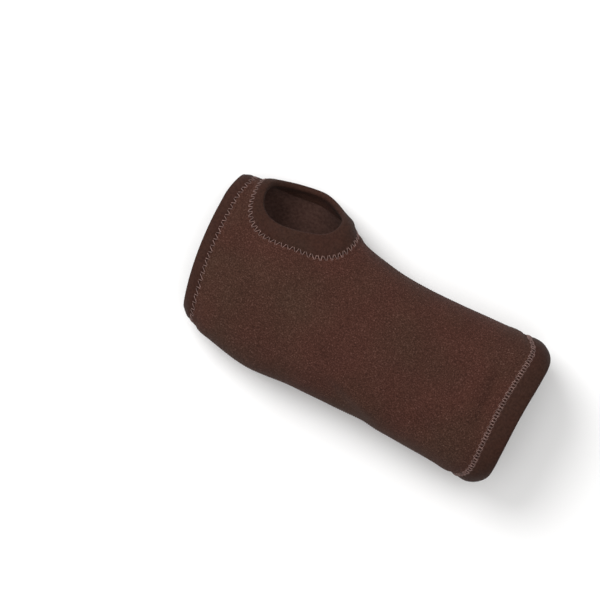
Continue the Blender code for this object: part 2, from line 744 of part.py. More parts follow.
def add_pocket(name, track, half_width, span, far_depth):
    """A strip of cloth sewn to the lining along both sides and one end, with room for the stay."""
    start = span[0] + POCKET_MOUTH
    end = span[1] + TIP_GROWTH + POCKET_END
    inner = half_width + TIP_GROWTH + STAY_CLEARANCE
    web = far_depth + TIP_GROWTH + STAY_CLEARANCE
    half = [inner + POCKET_SLOPE + POCKET_LIP, inner + POCKET_SLOPE, inner, inner / 2]
    across = np.array([-w for w in half] + [0] + half[::-1])
    raised = np.array([0, 0, 1, 1, 1, 1, 1, 0, 0])
    along = np.append(np.linspace(start, end - POCKET_END, 14), [end - POCKET_END / 3, end])
    full = np.append(np.ones(14), [0, 0])
    near, far = [], []
    for a, present in zip(along, full):
        lip = track.lining_depth(a, across) + POCKET_SEAT
        depth = np.where(raised * present > 0, web, lip)
        near.append(track.point(a, across, depth))
        far.append(track.point(a, across, depth + POCKET_CLOTH))
    faces = grid_faces(len(along), len(across))
    if not track.near_side_up:
        faces = [face[::-1] for face in faces]
    near, far = np.concatenate(near), np.concatenate(far)
    points, faces = closed_sheet(near, far, faces)
    add_solid(name, points, faces, "lining_jersey")


def add_palmar_stay():
    track = PalmarTrack()
    axis = add_empty("palmar_stay_axis", (X_FOREARM, STAY_LINE, ARC_CENTRE_Z))
    span = (PALMAR_STAY_INSET, PALMAR_STAY_INSET + PALMAR_STAY_LENGTH)

    def half_width(along):
        share = np.clip((along - span[0]) / PALMAR_STAY_LENGTH, 0, 1)
        palm = np.clip((share - PALMAR_STAY_SPREAD_FROM) / PALMAR_STAY_SPREAD, 0, 1)
        return (PALMAR_STAY_WIDTH + (PALMAR_STAY_PALM_WIDTH - PALMAR_STAY_WIDTH) * palm) / 2

    # The flat strip lies under the crown of the lining, clear of it at its edges.
    stations, widths = end_rounded(half_width, *span, TIP_GROWTH)
    lining = max(track.lining_depth(stations, side * widths).max() for side in (1, -1))
    near = lining + STAY_CLEARANCE + TIP_GROWTH
    depths = (near, near + PALMAR_STAY_THICKNESS)
    add_stay("palmar_stay", track, half_width, span, depths, "aluminium", axis)
    add_pocket("palmar_stay_pocket", track, PALMAR_STAY_PALM_WIDTH / 2, span, depths[1])


def add_dorsal_stays():
    span = (DORSAL_STAY_INSET, DORSAL_STAY_INSET + DORSAL_STAY_LENGTH)
    depths = (DORSAL_STAY_BASE, DORSAL_STAY_BASE + DORSAL_STAY_THICKNESS)
    for side, name in ((1, "radial"), (-1, "ulnar")):
        middle = STAY_LINE + side * DORSAL_STAY_SPACING / 2
        track = DorsalTrack(middle)
        end = add_empty(f"dorsal_stay_{name}_slide", (X_FOREARM - span[0], middle, depths[0]))
        add_stay(
            f"dorsal_stay_{name}",
            track,
            lambda along: DORSAL_STAY_WIDTH / 2,
            span,
            depths,
            "spring_steel",
            end,
        )
        add_pocket(f"dorsal_stay_{name}_pocket", track, DORSAL_STAY_WIDTH / 2, span, depths[1])


def main():
    for old in list(bpy.data.objects):
        bpy.data.objects.remove(old)
    add_panels()
    add_seams()
    add_bands()
    add_palmar_stay()
    add_dorsal_stays()


main()
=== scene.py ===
"""Looks of a pull-on wrist splint: knitted covers, bound edges, zigzag stitching, jersey lining,
stay pockets and metal stays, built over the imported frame.

The cloth is laid out on the sleeve's skin. A place on it is (x, s): x along the sleeve and s the
distance round it from the thumb side's line, positive over the palm and negative under the dorsum.
"""

import functools
import math

import bpy
import numpy as np
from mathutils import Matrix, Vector


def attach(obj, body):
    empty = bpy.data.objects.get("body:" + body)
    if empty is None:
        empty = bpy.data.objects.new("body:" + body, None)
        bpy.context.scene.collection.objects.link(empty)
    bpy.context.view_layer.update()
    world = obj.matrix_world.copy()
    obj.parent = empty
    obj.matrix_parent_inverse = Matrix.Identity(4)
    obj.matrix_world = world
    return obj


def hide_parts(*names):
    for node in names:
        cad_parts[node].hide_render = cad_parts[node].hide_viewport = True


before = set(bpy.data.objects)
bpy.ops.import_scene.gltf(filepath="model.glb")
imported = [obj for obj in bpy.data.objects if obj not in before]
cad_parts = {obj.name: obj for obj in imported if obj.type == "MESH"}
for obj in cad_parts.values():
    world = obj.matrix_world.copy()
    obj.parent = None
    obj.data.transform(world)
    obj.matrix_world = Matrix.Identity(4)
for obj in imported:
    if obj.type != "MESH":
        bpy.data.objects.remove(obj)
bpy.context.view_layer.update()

# ---- the sleeve's sizes, as in the CAD model

LENGTH = 0.189
X_FINGER = 0.001 - LENGTH / 2
X_FOREARM = 0.001 + LENGTH / 2
STAY_LINE = -0.00715

# Stations along the sleeve, from the finger edge, and the half widths there. The worn cloth is up to
# 0.5 mm fuller at the flare and the wrist than the CAD model's plain solids.
RADIAL_AT = [0, 0.044, 0.061, 0.0765, 0.1085, LENGTH]
RADIAL = [0.044, 0.0565, 0.0505, 0.0415, 0.0375, 0.0412]
ULNAR_AT = [0, 0.053, 0.0765, 0.1085, LENGTH]
ULNAR = [0.0345, 0.0422, 0.0399, 0.0386, 0.0396]

FOREARM_HEIGHT = 0.056
PALMAR_RADIUS = 0.900
SIDE_SHARE = 0.46
FLAT_SHARE = 0.42
PALM_SQUARENESS = 2.9
DORSAL_SQUARENESS = 2.4

ULNAR_BEND, ULNAR_BEND_FROM = 2.7, 0.016
RADIAL_BEND, RADIAL_BEND_FROM = 12.0, 0.022
FOREARM_DIP = 0.0035
FOREARM_CORNER_FALL = 0.0060
FINGER_DRAW, FINGER_DRAW_LENGTH = 0.0065, 0.0140
FOREARM_DRAW, FOREARM_DRAW_LENGTH = 0.0140, 0.0130
RADIAL_DRAW = 0.82  # the thumb side is drawn in less
MOST_DRAW_SHARE = 0.8
END_CURL, END_CURL_LENGTH = 0.0010, 0.0105

COVER = 0.0022
LINING_TOP = 0.0025
LAYERS = 0.0033

HOLE_X = X_FINGER + 0.039
HOLE_RISE = 0.016
HOLE_HALF_LENGTH = 0.021
HOLE_HALF_WIDTH = 0.022

# The joints between bands and cover run down the middle of the CAD model's stitching.
FINGER_JOINT = 0.0065
FOREARM_JOINT = 0.0115
THUMB_JOINT = 0.0105
THUMB_JOINT_AT_WEB = 0.0047

PALMAR_STAY_SPAN = (0.0140, 0.1620)
PALMAR_STAY_DEPTH = (0.00517, 0.00667)
PALMAR_STAY_HALF_WIDTH = 0.0125
PALMAR_STAY_PALM_HALF_WIDTH = 0.0155
PALMAR_STAY_SPREAD_FROM, PALMAR_STAY_SPREAD = 0.55, 0.25  # shares of the length
DORSAL_STAY_SPAN = (0.0150, 0.1330)
DORSAL_STAY_DEPTH = (0.0041, 0.0049)
DORSAL_STAY_HALF_WIDTH = 0.0040
DORSAL_STAY_SPACING = 0.0260
TIP_LENGTH = 0.0090
TIP_GAP = 0.0001
TIP_GROWTH = 0.0004
STAY_CLEARANCE = 0.0004
POCKET_CLOTH = 0.0008
POCKET_SLOPE = 0.0012
POCKET_LIP = 0.0035
POCKET_SEAT = 0.0005
POCKET_END = 0.0040
POCKET_MOUTH = 0.0020

# ---- the shown meshes, in metres

MESH_STEP = 0.0011
LINE_ROUNDS = 8  # rounds in which a line across the curved skin settles
HOLE_RINGS = 13
HOLE_MARGIN = 0.004
COVER_ROOM = 0.00012  # from a joint or seam to the cover's cut edge
LINING_ROOM = 0.0002
LINING_WAVE = 0.00012
BAND_ROOM = 0.0001
BAND_STEPS = 12
BAND_DRAPE = 0.4  # the share of the relief that reaches a band's free edge
LEG_STEPS = 8
STRIP_CORNER = 0.006
STRIP_CORNER_STEPS = 12
STRIP_STEPS = 100
STRIP_EDGE_SHARE = 0.8  # how much of a strip's thickness its round edges take
BEYOND = 1.0  # farther than any strip reaches
POCKET_ROWS = 90
POCKET_WAVE = 0.00012
POCKET_SHUT, POCKET_SHUT_FADE = 0.35, 0.6  # where the end comes down, in shares of its length
LOCK_STEP, LOCK_STITCH = 0.0006, 0.0024
LOCK_RISE, LOCK_SINK = 0.00012, 0.0001
LOCK_IN, LOCK_END_IN = 0.45, 0.25  # how far in the stitches run, in shares of the lip and the end
LOCK_START = 0.001  # from the mouth

# ---- the worn cloth's relief, in metres

WAVES = [(0.00022, 0.055, 3), (0.00010, 0.021, 5)]  # height, length and seed
PALM_FROM, PALM_FADE = 0.012, 0.020  # the height at which the palm's folds set in
SHOW = 0.00018  # how far the palmar stay's pocket shows through the cloth
SHOW_HALF_WIDTH, SHOW_FADE = 0.0150, 0.0012
SHOW_END_FADE = 0.006
SHOW_ABOVE, SHOW_RISE = 0.030, 0.005  # heights, so that only the palm side has it
REST_CLEAR, REST_FADE = 0.0002, 0.004  # the height over the floor at which the cloth is free
REST_SHARE = 0.3  # how much of a hollow stays where the cloth rests
BAND_SWELL = 0.00035  # how far a band's middle stands proud
JOINT_GROOVE = 0.00045  # how far the cloth is pulled down along a joint
JOINT_GROOVE_WIDTH = 0.0011
EDGE_DIP = 0.00045  # a second dip in the cover, beyond the stitching
EDGE_DIP_AT = 0.0028
EDGE_DIP_WIDTH = 0.0009
PUFF = 0.00035  # how far the cover swells past that dip
PUFF_AT = 0.0070
PUFF_WIDTH = 0.0036
PUCKER = 0.00007
STITCH_PITCH = 0.0036
STITCH = (STITCH_PITCH, 0.0035)  # a row's pitch and how wide it reaches
LATTICE = (0.0031, 0.0042)
SEAM = (0.0022, 0.0024)
THREAD = 0.00021
THREAD_RISE, THREAD_SINK = 4.0, 3.0  # over the cloth and into its holes, in thread radii
CROSSING_RISE = 1.2  # how much higher a lattice's second thread lies, in thread radii
STITCHED_FLOOR = 0.0006  # below this height a thread lies in the cloth, clear of the floor
LONG_GATHER = 3.3  # the longer puckers, in stitches
LONG_GATHER_SHARE = 0.6
GATHER_REACH = 3.5  # how far the puckers reach, in joint grooves
SEAM_GROOVE_SHARE = 0.8
SEAM_ROOM = 0.0020  # from a joint to where a seam's stitching starts
THUMB_ROW = 0.200  # round the thumb joint
FINGER_ROW_SHARE = 0.93  # of the girth at the wrist


# ---- the skin


def smooth_through(stations, values, at):
    """A curve through the stations that never swings past them (a monotone cubic)."""
    xs, ys = np.asarray(stations, float), np.asarray(values, float)
    width, slope = np.diff(xs), np.diff(ys) / np.diff(xs)
    tangent = np.zeros_like(ys)
    same_way = slope[:-1] * slope[1:] > 0
    near, far = 2 * width[1:] + width[:-1], width[1:] + 2 * width[:-1]
    safe = np.where(same_way[:, None], np.stack([slope[:-1], slope[1:]], 1), 1.0)
    mean = (near + far) / (near / safe[:, 0] + far / safe[:, 1])
    tangent[1:-1] = np.where(same_way, mean, 0.0)
    at = np.clip(np.asarray(at, float), xs[0], xs[-1])
    i = np.clip(np.searchsorted(xs, at) - 1, 0, len(width) - 1)
    t = (at - xs[i]) / width[i]
    rise = ys[i] * (1 + 2 * t) * (1 - t) ** 2 + ys[i + 1] * t**2 * (3 - 2 * t)
    return rise + width[i] * t * (1 - t) * (tangent[i] * (1 - t) - tangent[i + 1] * t)


def drawn_in(distance, length, draw):
    share = np.maximum(distance / length, 0)
    bent = np.minimum(share, MOST_DRAW_SHARE)
    slope = MOST_DRAW_SHARE / math.sqrt(1 - MOST_DRAW_SHARE**2)
    return draw * (1 - np.sqrt(1 - bent**2) + slope * (share - bent))


def finger_edge(y):
    ulnar_fall = ULNAR_BEND * np.minimum(y - ULNAR_BEND_FROM, 0) ** 2
    radial_fall = RADIAL_BEND * np.maximum(y - RADIAL_BEND_FROM, 0) ** 2
    return X_FINGER + ulnar_fall + radial_fall


def side_lines(x):
    radial = smooth_through(RADIAL_AT, RADIAL, x - X_FINGER)
    ulnar = smooth_through(ULNAR_AT, ULNAR, x - X_FINGER)
    past = x - (X_FOREARM - FOREARM_DRAW_LENGTH)
    at_forearm = drawn_in(past, FOREARM_DRAW_LENGTH, FOREARM_DRAW)
    past = finger_edge(STAY_LINE - ulnar) + FINGER_DRAW_LENGTH - x
    at_finger = drawn_in(past, FINGER_DRAW_LENGTH, FINGER_DRAW)
    return STAY_LINE + radial - RADIAL_DRAW * at_forearm, STAY_LINE - ulnar + at_forearm + at_finger


def palm_height(x):
    arc = FOREARM_HEIGHT - PALMAR_RADIUS + np.sqrt(PALMAR_RADIUS**2 - (X_FOREARM - x) ** 2)
    share = np.clip(1 - np.minimum(x - X_FINGER, X_FOREARM - x) / END_CURL_LENGTH, 0, 1)
    return arc - END_CURL * share**2


def squared(angle, squareness):
    c, s = np.cos(angle), np.sin(angle)
    reach = (np.abs(c) ** squareness + np.abs(s) ** squareness) ** (-1 / squareness)
    return c * reach, s * reach


def section(x):
    """One section: from the thumb side over the palm, then back under the dorsum."""
    radial, ulnar = side_lines(x)
    top = palm_height(x)
    side = SIDE_SHARE * top
    middle, half = (radial + ulnar) / 2, (radial - ulnar) / 2
    flat = FLAT_SHARE * half
    c, s = squared(np.linspace(0, math.pi, 1201), PALM_SQUARENESS)
    over = np.stack([middle + half * c, side + (top - side) * s], 1)
    c, s = squared(np.linspace(0, math.pi / 2, 601)[1:], DORSAL_SQUARENESS)
    down = np.stack([flat + (half - flat) * c, side * (1 - s)], 1)
    ulnar_down = down * (-1, 1) + (middle, 0)
    radial_up = down[::-1] + (middle, 0)
    return np.concatenate([over, ulnar_down, radial_up, [[radial, side]]]), len(over) - 1


class Skin:
    """The sleeve's outer surface, sampled finely and read by interpolation."""

    STATIONS = 500
    POINTS = 1600

    def __init__(self):
        self.x = np.linspace(X_FINGER - 0.004, X_FOREARM + 0.004, self.STATIONS)
        rings, rounds, ulnars = [], [], []
        for x in self.x:
            points, ulnar = section(x)
            runs = np.linalg.norm(np.diff(points, axis=0), axis=1)
            along = np.concatenate([[0], np.cumsum(runs)])
            even = np.linspace(0, along[-1], self.POINTS + 1)
            rings.append(np.stack([np.interp(even, along, points[:, k]) for k in (0, 1)], 1))
            rounds.append(along[-1])
            ulnars.append(along[ulnar])
        self.rings, self.rounds, self.ulnars = np.array(rings), np.array(rounds), np.array(ulnars)

    def girth(self, x):
        return np.interp(x, self.x, self.rounds)

    def ulnar_line(self, x, side):
        over = np.interp(x, self.x, self.ulnars)
        return over if side > 0 else over - self.girth(x)

    def point(self, x, s):
        x, s = np.broadcast_arrays(np.asarray(x, float), np.asarray(s, float))
        step = self.x[1] - self.x[0]
        i = np.clip(((x - self.x[0]) / step).astype(int), 0, len(self.x) - 2)
        u = ((x - self.x[i]) / step)[..., None]
        turn = np.mod(s / self.girth(x), 1) * self.POINTS
        j = np.clip(turn.astype(int), 0, self.POINTS - 1)
        v = (turn - j)[..., None]
        near = self.rings[i, j] * (1 - v) + self.rings[i, j + 1] * v
        far = self.rings[i + 1, j] * (1 - v) + self.rings[i + 1, j + 1] * v
        return np.concatenate([x[..., None], near * (1 - u) + far * u], -1)

    def at_depth(self, x, s, depth):
        """The point this far under the skin, square to it."""
        step = 0.0008
        along = self.point(x + step, s) - self.point(x - step, s)
        across = self.point(x, s + step) - self.point(x, s - step)
        out = np.cross(across, along)
        out /= np.linalg.norm(out, axis=-1, keepdims=True)
        return self.point(x, s) - out * np.broadcast_to(depth, np.shape(x))[..., None]


SKIN = Skin()


def crossing(edge, s, start, shift):
    """The x at which an end's edge, shifted along the sleeve, crosses this s."""
    x = np.full_like(np.asarray(s, float), start + shift)
    for _ in range(LINE_ROUNDS):
        x = edge(SKIN.point(x, s)[..., 1]) + shift
    return x


def finger_line(s, inside):
    return crossing(finger_edge, s, X_FINGER, inside)


def forearm_edge(y):
    across = np.minimum(np.abs(y - STAY_LINE) / ULNAR[-1], 1)
    return X_FOREARM - FOREARM_DIP * (1 - across**2) - FOREARM_CORNER_FALL * across**12


def forearm_line(s, inside):
    return crossing(forearm_edge, s, X_FOREARM, -inside)


def thumb_joint(angle):
    """How far the thumb band's joint lies outside the hole: it narrows at the web."""
    at_web = ((1 - np.cos(angle)) / 2) ** 3
    return THUMB_JOINT + (THUMB_JOINT_AT_WEB - THUMB_JOINT) * at_web


def hole_line(angle, outside):
    x = HOLE_X + (HOLE_HALF_LENGTH + outside) * np.cos(angle)
    return x, HOLE_RISE + (HOLE_HALF_WIDTH + outside) * np.sin(angle)


def hole_angle_at(s, outside, towards_fingers):
    """The angle at which the line this far outside the thumb joint crosses this s."""
    angle = math.pi if towards_fingers else 0.0
    for _ in range(20):
        reach = HOLE_HALF_WIDTH + thumb_joint(angle) + outside
        rise = math.asin((s - HOLE_RISE) / reach)
        angle = math.pi - rise if towards_fingers else rise
    return angle


# ---- relief of the worn cloth


# Soft folds in plan: from, to, width and height.
PALM_FOLDS = [
    ((-0.004, -0.037), (0.028, -0.046), 0.0035, -0.0012),
    ((-0.002, -0.030), (0.026, -0.040), 0.0040, 0.0009),
    ((0.072, 0.010), (0.075, -0.021), 0.0036, -0.0019),
    ((0.064, 0.004), (0.066, -0.018), 0.0050, 0.0009),
    ((0.036, -0.024), (0.058, -0.035), 0.0034, -0.0010),
    ((0.045, -0.020), (0.064, -0.033), 0.0036, 0.0006),
    ((0.030, 0.012), (0.066, 0.022), 0.0060, -0.0005),
    ((-0.080, 0.006), (-0.072, 0.024), 0.0060, 0.0011),
    ((-0.060, -0.020), (-0.030, -0.036), 0.0080, -0.0006),
    ((-0.024, 0.006), (-0.002, -0.006), 0.0090, -0.0005),
]
THUMB_ROLLS = [
    ((-0.0300, 0.030), (-0.0290, 0.046), 0.0022, 0.0007),
    ((-0.0225, 0.028), (-0.0215, 0.042), 0.0022, 0.0005),
]


def fold(x, y, start, end, width, height):
    """A soft fold along a line in plan: how much it lifts the cloth at (x, y)."""
    start, end = np.array(start), np.array(end)
    way = end - start
    length = np.linalg.norm(way)
    way /= length
    dx, dy = x - start[0], y - start[1]
    along = (dx * way[0] + dy * way[1]) / length
    off = (dx * -way[1] + dy * way[0]) / width
    ends = np.exp(-(np.maximum(np.abs(along - 0.5) - 0.35, 0) ** 2) / 0.03)
    return height * np.exp(-(off**2)) * ends


def ripple(x, s, length, seed):
    """Slow, irregular waves of about this length, between -1 and 1."""
    random = np.random.default_rng(seed)
    total = np.zeros(np.shape(x))
    for _ in range(6):
        heading, phase = random.uniform(0, 2 * math.pi, 2)
        pitch = length * random.uniform(0.75, 1.4)
        total += np.sin((x * math.cos(heading) + s * math.sin(heading)) / pitch * 2 * math.pi + phase)
    return total / 6


def joint_distances(x, s, y):
    """How far (x, s) lies from each line of stitching, and how far along it."""
    angle = np.arctan2((s - HOLE_RISE) / HOLE_HALF_WIDTH, (x - HOLE_X) / HOLE_HALF_LENGTH)
    out = thumb_joint(angle)
    reach = np.hypot(
        (x - HOLE_X) / (HOLE_HALF_LENGTH + out),
        (s - HOLE_RISE) / (HOLE_HALF_WIDTH + out),
    )
    return (
        (x - finger_edge(y) - FINGER_JOINT, s),
        (forearm_edge(y) - FOREARM_JOINT - x, s),
        ((reach - 1) * (HOLE_HALF_WIDTH + out), angle * (HOLE_HALF_WIDTH + out)),
    )


def seam_distances(x, s):
    over, under = SKIN.ulnar_line(x, 1), SKIN.ulnar_line(x, -1)
    return np.abs(s), np.minimum(np.abs(s - over), np.abs(s - under))


def relief(x, s):
    """How far the worn cloth stands out from the smooth skin."""
    place = SKIN.point(x, s)
    y, z = place[..., 1], place[..., 2]
    palm = np.clip((z - PALM_FROM) / PALM_FADE, 0, 1)
    lift = sum(height * ripple(x, s, length, seed) for height, length, seed in WAVES)

    # Folds that the wrist and the forearm press into the palm side.
    for start, end, width, height in PALM_FOLDS:
        lift = lift + palm * fold(x, y, start, end, width, height)
    # Small rolls where the thumb band turns under towards the forearm.
    for start, end, width, height in THUMB_ROLLS:
        lift = lift + fold(x, y, start, end, width, height)
    # The palmar stay's pocket shows faintly.
    past = np.abs(y - STAY_LINE) - SHOW_HALF_WIDTH
    stay = 1 / (1 + np.exp(past / SHOW_FADE))
    inside = np.clip((X_FOREARM - PALMAR_STAY_SPAN[0] - x) / SHOW_END_FADE, 0, 1)
    inside = inside * np.clip((x - X_FOREARM + PALMAR_STAY_SPAN[1]) / SHOW_END_FADE, 0, 1)
    above = np.clip((z - SHOW_ABOVE) / SHOW_RISE, 0, 1)
    lift = lift + SHOW * stay * inside * above

    # Stitching pulls the cloth down, and puckers it.
    for away, along in joint_distances(x, s, y):
        beyond = np.exp(-(((away - EDGE_DIP_AT) / EDGE_DIP_WIDTH) ** 2))
        swollen = np.exp(-(((away - PUFF_AT) / PUFF_WIDTH) ** 2))
        lift = lift - EDGE_DIP * beyond + PUFF * swollen
        near = np.exp(-((away / JOINT_GROOVE_WIDTH) ** 2))
        wide = np.exp(-((away / (GATHER_REACH * JOINT_GROOVE_WIDTH)) ** 2))
        gathers = LONG_GATHER_SHARE * np.sin(along / (LONG_GATHER * STITCH_PITCH) * 2 * math.pi)
        gathers = gathers + np.sin(along / STITCH_PITCH * 2 * math.pi)
        lift = lift - JOINT_GROOVE * near + PUCKER * wide * (1 - near) * gathers
    for away in seam_distances(x, s):
        lift = lift - SEAM_GROOVE_SHARE * JOINT_GROOVE * np.exp(-((away / JOINT_GROOVE_WIDTH) ** 2))
    return settled(lift, z)


def settled(lift, z):
    """Where the sleeve rests on its dorsal side, the cloth can't stand out."""
    free = np.clip((z - REST_CLEAR) / REST_FADE, 0, 1)
    return np.where(lift > 0, lift * free, lift * (REST_SHARE + (1 - REST_SHARE) * free))


# ---- meshes


def new_object(name, data):
    made = bpy.data.objects.new(name, data)
    bpy.context.scene.collection.objects.link(made)
    return made


def add_mesh(name, points, faces, places=None, sharp=60):
    """A mesh piece. places holds each vertex's (x, s), which the cloth materials read."""
    mesh = bpy.data.meshes.new(name)
    mesh.from_pydata(np.asarray(points).tolist(), [], faces)
    if places is not None:
        cloth = mesh.attributes.new("cloth", "FLOAT_VECTOR", "POINT")
        flat = np.concatenate([places, np.zeros((len(places), 1))], 1)
        cloth.data.foreach_set("vector", flat.astype(np.float32).ravel())
    mesh.shade_smooth()
    mesh.set_sharp_from_angle(angle=math.radians(sharp))
    return new_object(name, mesh)


def outward(points, faces):
    """The same faces, turned over if the body they close is inside out."""
    p = np.asarray(points)
    volume = 0.0
    for face in faces:
        for i in range(1, len(face) - 1):
            volume += np.dot(p[face[0]], np.cross(p[face[i]], p[face[i + 1]]))
    return faces if volume > 0 else [face[::-1] for face in faces]


def lofted(rings, closed=False):
    """Points and faces of a body through rings of points; its ends are capped unless it closes."""
    rings = np.asarray(rings)
    count, sides = rings.shape[:2]
    faces = []
    for i in range(count if closed else count - 1):
        a, b = i * sides, ((i + 1) % count) * sides
        faces += [(a + j, a + (j + 1) % sides, b + (j + 1) % sides, b + j) for j in range(sides)]
    if not closed:
        faces += [tuple(range(sides))[::-1], tuple((count - 1) * sides + j for j in range(sides))]
    points = rings.reshape(-1, 3)
    return points, outward(points, faces)


def closed_sheet(outer, inner, faces):
    """A sheet with thickness: its outer and inner points, and walls round its open edges."""
    shift = len(outer)
    edges = set()
    for face in faces:
        edges.update(zip(face, list(face[1:]) + [face[0]]))
    walls = [(b, a, a + shift, b + shift) for a, b in edges if (b, a) not in edges]
    under = [tuple(i + shift for i in reversed(face)) for face in faces]
    return np.concatenate([outer, inner]), faces + under + sorted(walls)


def grid_faces(rows, columns):
    """The four-sided faces of a grid of points that are numbered row by row."""
    return [
        (i * columns + j, i * columns + j + 1, (i + 1) * columns + j + 1, (i + 1) * columns + j)
        for i in range(rows - 1)
        for j in range(columns - 1)
    ]


def weld_blocks(blocks):
    """Joins grids of (x, s) points that share their borders into one sheet of faces."""
    index, points, faces = {}, [], []
    for block in blocks:
        flat = []
        for p in block.reshape(-1, 2):
            key = (round(p[0] * 1e7), round(p[1] * 1e7))
            if key not in index:
                index[key] = len(points)
                points.append(p)
            flat.append(index[key])
        for face in grid_faces(*block.shape[:2]):
            corners = tuple(flat[i] for i in face)
            p = [points[i] for i in corners]
            turn = (p[2][0] - p[0][0]) * (p[3][1] - p[1][1]) - (p[2][1] - p[0][1]) * (p[3][0] - p[1][0])
            faces.append(corners[::-1] if turn > 0 else corners)
    return np.array(points), faces


class Layout:
    """How one panel is divided: grids from the joints and seams round the thumb hole."""

    def __init__(self, side, room):
        self.side = side
        self.room = room
        self.edge = side * room
        self.frame_x = hole_line(0, THUMB_JOINT + room)[0] + HOLE_MARGIN
        top = hole_line(side * math.pi / 2, THUMB_JOINT + room)[1] + side * HOLE_MARGIN
        far = SKIN.ulnar_line(self.frame_x, side) - self.edge
        count = round(abs(far - self.edge) / MESH_STEP)
        self.shares = np.linspace(0, 1, count + 1)
        reached = np.abs(self.edge + (far - self.edge) * self.shares)
        self.beside = int(np.searchsorted(reached, abs(top)))
        self.frame = self.frame_points()
        start = hole_angle_at(self.edge, room, towards_fingers=False)
        end = hole_angle_at(self.edge, room, towards_fingers=True)
        end -= 2 * math.pi if side < 0 else 0
        over = np.arctan2(self.frame[:, 1] - HOLE_RISE, self.frame[:, 0] - HOLE_X)
        bearing = np.unwrap(over)
        turned = (bearing - bearing[0]) / (bearing[-1] - bearing[0])
        self.angles = start + (end - start) * turned
        self.hole = np.stack(hole_line(self.angles, thumb_joint(self.angles) + room), 1)
        self.hole[0, 1] = self.hole[-1, 1] = self.edge

    def across(self, x, share):
        return self.edge + (SKIN.ulnar_line(x, self.side) - 2 * self.edge) * share

    def meet(self, line, inside, share):
        share = np.asarray(share, float)
        x = np.zeros_like(share)
        for _ in range(LINE_ROUNDS):
            x = line(self.across(x, share), inside)
        return x, self.across(x, share)

    def frame_points(self):
        near, top = self.shares[: self.beside + 1], self.shares[self.beside]
        right = np.stack([np.full(len(near), self.frame_x), self.across(self.frame_x, near)], 1)
        left = np.stack(self.meet(finger_line, FINGER_JOINT + self.room, near[::-1]), 1)
        steps = round((self.frame_x - left[0, 0]) / MESH_STEP)
        along = np.linspace(self.frame_x, left[0, 0], steps + 1)[1:-1]
        self.steps = steps
        return np.concatenate([right, np.stack([along, self.across(along, top)], 1), left])

    def sheet(self):
        """The panel's (x, s) points and faces."""
        out = np.linspace(0, 1, HOLE_RINGS)[:, None, None]
        round_hole = self.hole * (1 - out) + self.frame * out
        top = self.frame[self.beside : self.beside + self.steps + 1]
        spread = (top[:, 0] - self.frame_x) / (top[-1, 0] - self.frame_x)
        rows, columns = [top], []
        for share in self.shares[self.beside + 1 :]:
            end, _ = self.meet(finger_line, FINGER_JOINT + self.room, share)
            x = self.frame_x + spread * (end - self.frame_x)
            rows.append(np.stack([x, self.across(x, share)], 1))
        end, _ = self.meet(forearm_line, FOREARM_JOINT + self.room, self.shares)
        steps = round((X_FOREARM - FOREARM_JOINT - self.frame_x) / MESH_STEP)
        for share in np.linspace(0, 1, steps + 1):
            x = self.frame_x + (end - self.frame_x) * share
            columns.append(np.stack([x, self.across(x, self.shares)], 1))
        return weld_blocks([round_hole, np.array(rows), np.array(columns)])


def add_panel(name, side, depths, material, slot):
    """A sewn panel: a sheet of cloth on the skin, from one depth to another."""
    worn = depths[0] == 0
    places, faces = Layout(side, COVER_ROOM if worn else LINING_ROOM).sheet()
    x, s = places.T
    outer = -relief(x, s) if worn else np.full(len(x), depths[0])
    inner = depths[1] + (0 if worn else LINING_WAVE * (1 + ripple(x, s, 0.012, 11)))
    shown, hidden = SKIN.at_depth(x, s, outer), SKIN.at_depth(x, s, inner)
    points, solid = closed_sheet(shown, hidden, faces)
    piece = add_mesh(name, points, solid, np.concatenate([places, places]))
    finish_piece(piece, material, slot, "root", name.replace("_cloth", ""))


def finish_piece(piece, material, slot, body, *replaced):
    piece.data.materials.clear()
    piece.data.materials.append(material)
    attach(piece, body)
    if replaced:
        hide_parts(*replaced)


# ---- bound edges


def round_places(line, inside, turn):
    """(x, s) on an end's line, at these shares of the way round."""
    x = np.zeros_like(turn)
    for _ in range(LINE_ROUNDS):
        s = turn * SKIN.girth(x)
        x = line(s, inside)
    return x, s


def thumb_places(out, turn):
    """out runs from 0 at the hole's edge to THUMB_JOINT at the joint."""
    angle = 2 * math.pi * turn
    return hole_line(angle, thumb_joint(angle) * out / THUMB_JOINT)


def band_profile(width):
    """(share of the width, depth, whether relief applies) round a bound edge's section."""
    radius = LAYERS / 2
    outer = np.linspace(width, radius, BAND_STEPS)
    swell = BAND_SWELL * np.sin(np.linspace(0, math.pi, BAND_STEPS)) ** 0.8
    top = [(out, -up, 1.0) for out, up in zip(outer, swell)]
    turn = np.linspace(0, math.pi, BAND_STEPS - 1)[1:-1]
    nose = [
        (radius - radius * math.sin(a), radius - radius * math.cos(a), (1 + math.cos(a)) / 2)
        for a in turn
    ]
    under = [(out, LAYERS, 0.0) for out in np.linspace(radius, width, BAND_STEPS // 2)]
    return top + nose + under


def add_band(name, line, width, count, material):
    """A bound edge. line(out, turn) gives (x, s) this far from the free edge."""
    turn = np.linspace(0, 1, count, endpoint=False)
    loops, places = [], []
    for out, depth, raised in band_profile(width):
        x, s = line(out, turn)
        away = np.clip(out / width, 0, 1)
        drape = raised * (relief(x, s) * (BAND_DRAPE + (1 - BAND_DRAPE) * away))
        loops.append(SKIN.at_depth(x, s, depth - drape))
        places.append(np.stack([x, s], 1))
    points, faces = lofted(np.stack(loops, 1), closed=True)
    piece = add_mesh(name, points, faces, np.stack(places, 1).reshape(-1, 2))
    finish_piece(piece, material, "band", "root", name.replace("_binding", ""))
    return piece


